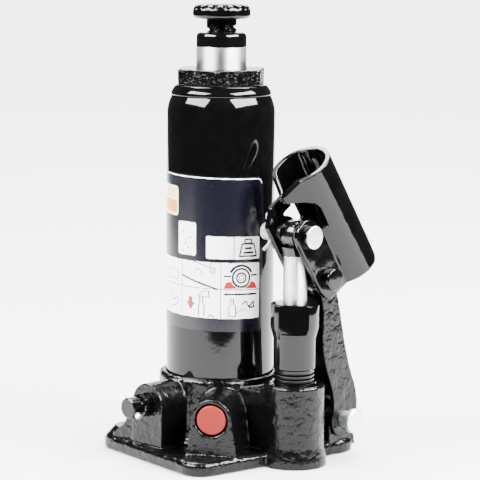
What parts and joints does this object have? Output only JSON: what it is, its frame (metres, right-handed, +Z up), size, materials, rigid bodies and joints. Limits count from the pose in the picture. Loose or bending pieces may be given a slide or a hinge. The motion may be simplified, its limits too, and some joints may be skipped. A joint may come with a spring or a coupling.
{
  "type": "hydraulic bottle jack",
  "caption": "Hydraulic bottle jack: round oil reservoir on a cast base with a hand pump, slanted handle socket and linkage, release valve, lifting ram and screw-out toothed saddle.",
  "frame": {"origin": "lifting axis at the ground, on the underside of the base", "axes": "+Z up along the ram; +X from the reservoir to the hand pump; -Y to the release valve, +Y to the foot of the pump link"},
  "size_m": [0.1016, 0.1067, 0.207],
  "materials": {
    "black_enamel": "smooth glossy black enamel",
    "steel": "bare turned and ground steel",
    "zinc": "bright zinc plated steel",
    "spring_steel": "plain spring steel",
    "copper_seal": "soft copper washer",
    "rubber": "oil-resistant black rubber",
    "red_plastic": "moulded red plastic",
    "label_film": "printed film, navy ground with white and orange fields",
    "cast_enamel": "glossy black enamel over a rough sand casting"
  },
  "bodies": {
    "base": {"base_casting": "cast_enamel", "reservoir_tube": "black_enamel", "label": "label_film", "filler_plug": "rubber", "tank_gasket": "rubber", "top_nut": "cast_enamel", "head_gasket": "rubber", "ram_wiper": "rubber", "cylinder_barrel": "steel", "barrel_gasket": "copper_seal", "pump_cylinder": "black_enamel", "pump_gasket": "copper_seal", "gland_seal": "rubber", "foot_pin": "zinc", "foot_split_pin": "zinc", "safety_ball": "steel", "safety_spring": "spring_steel", "safety_screw": "steel", "safety_cap": "red_plastic"},
    "ram": {"ram": "steel", "piston_head": "steel", "piston_cup": "rubber"},
    "screw_travel": {"screw_stop_ring": "spring_steel"},
    "screw": {"extension_screw": "steel", "saddle": "cast_enamel"},
    "plunger": {"plunger": "steel", "plunger_cup": "rubber"},
    "link": {"link_arm": "cast_enamel"},
    "socket": {"handle_socket": "black_enamel", "plunger_pin": "zinc", "link_pin": "black_enamel", "socket_split_pins": "zinc"},
    "release_travel": {"release_ball": "steel"},
    "release_valve": {"release_spindle": "black_enamel", "release_cross_pin": "zinc", "release_seal": "rubber"},
    "inlet_ball": {"inlet_ball": "steel"},
    "outlet_ball": {"outlet_ball": "steel"}
  },
  "joints": [
    {"name": "ram_lift", "type": "slide", "parent": "base", "child": "ram", "axis": [0, 0, 1], "range_m": [-0.012, 0.106]},
    {"name": "screw_lift", "type": "slide", "parent": "ram", "child": "screw_travel", "axis": [0, 0, 1], "range_m": [0, 0.06]},
    {"name": "screw_turn", "type": "hinge", "parent": "screw_travel", "child": "screw", "pos_m": [0, 0, 0.2], "axis": [0, 0, 1], "range_deg": [-1, 7201]},
    {"name": "link_swing", "type": "hinge", "parent": "base", "child": "link", "pos_m": [0.048, 0.029, 0.0168], "axis": [1, 0, 0], "range_deg": [-9.2, 0.6]},
    {"name": "socket_swing", "type": "hinge", "parent": "link", "child": "socket", "pos_m": [0.048, 0.01349, 0.08475], "axis": [1, 0, 0], "range_deg": [-2.6, 48]},
    {"name": "plunger_stroke", "type": "slide", "parent": "base", "child": "plunger", "axis": [0, 0, 1], "range_m": [-0.0112, 0.0007]},
    {"name": "release_travel", "type": "slide", "parent": "base", "child": "release_travel", "axis": [0, -1, 0], "range_m": [0, 0.0019]},
    {"name": "release_turn", "type": "hinge", "parent": "release_travel", "child": "release_valve", "pos_m": [-0.003, -0.044, 0.0258], "axis": [0, -1, 0], "range_deg": [0, 540]},
    {"name": "inlet_ball_lift", "type": "slide", "parent": "base", "child": "inlet_ball", "axis": [0, 0, 1], "range_m": [0, 0.0014]},
    {"name": "outlet_ball_lift", "type": "slide", "parent": "base", "child": "outlet_ball", "axis": [0, 0, 1], "range_m": [0, 0.0014]}
  ],
  "couplings": [
    {"joint": "screw_turn", "follows": "screw_lift", "rad_per_m": 2094.4},
    {"joint": "link_swing", "follows": "socket_swing", "ratio": -0.186},
    {"joint": "plunger_stroke", "follows": "socket_swing", "m_per_rad": -0.013},
    {"joint": "release_travel", "follows": "release_turn", "m_per_rad": 0.00019894}
  ]
}
